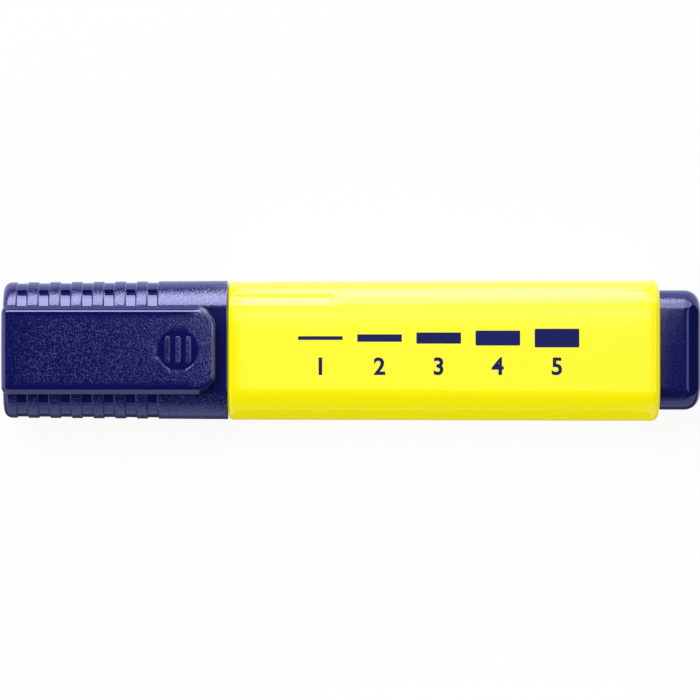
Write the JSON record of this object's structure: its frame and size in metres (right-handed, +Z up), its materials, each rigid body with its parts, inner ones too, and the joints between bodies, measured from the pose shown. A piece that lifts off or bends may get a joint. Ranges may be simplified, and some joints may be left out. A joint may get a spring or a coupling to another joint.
{
  "type": "highlighter",
  "caption": "Flat highlighter with rounded sides: slide-off cap with grip grooves and a sprung pocket clip, chisel nib in a sealed holder, ink reservoir and end plug.",
  "frame": {"origin": "on the surface the pen lies on, under the middle of its overall box", "axes": "+X along the pen from the closed end of the cap to the end plug, +Y across its width, +Z up from its flat back to the clip"},
  "size_m": [0.135, 0.0274, 0.0175],
  "materials": {
    "barrel_plastic": "glossy fluorescent yellow moulding",
    "dark_plastic": "navy moulding with a fine spark-eroded texture",
    "nib_felt": "dense felt soaked with yellow ink",
    "ink_fibre": "fibre bundle soaked with yellow ink",
    "film": "pale smooth film"
  },
  "bodies": {
    "pen": {"barrel": "barrel_plastic", "nib_holder": "dark_plastic", "nib": "nib_felt", "reservoir_core": "ink_fibre", "reservoir_wrap": "film", "breather_tube": "film", "end_plug": "dark_plastic"},
    "cap": {"cap_shell": "dark_plastic", "inner_cap": "dark_plastic"},
    "clip": {"clip": "dark_plastic"}
  },
  "joints": [
    {"name": "cap_slide", "type": "slide", "parent": "pen", "child": "cap", "axis": [-1, 0, 0], "range_m": [0, 0.045]},
    {"name": "clip_flex", "type": "hinge", "parent": "cap", "child": "clip", "pos_m": [-0.0671, 0, 0.0115], "axis": [0, -1, 0], "range_deg": [0, 3], "stiffness_Nm_per_rad": 0.08}
  ]
}
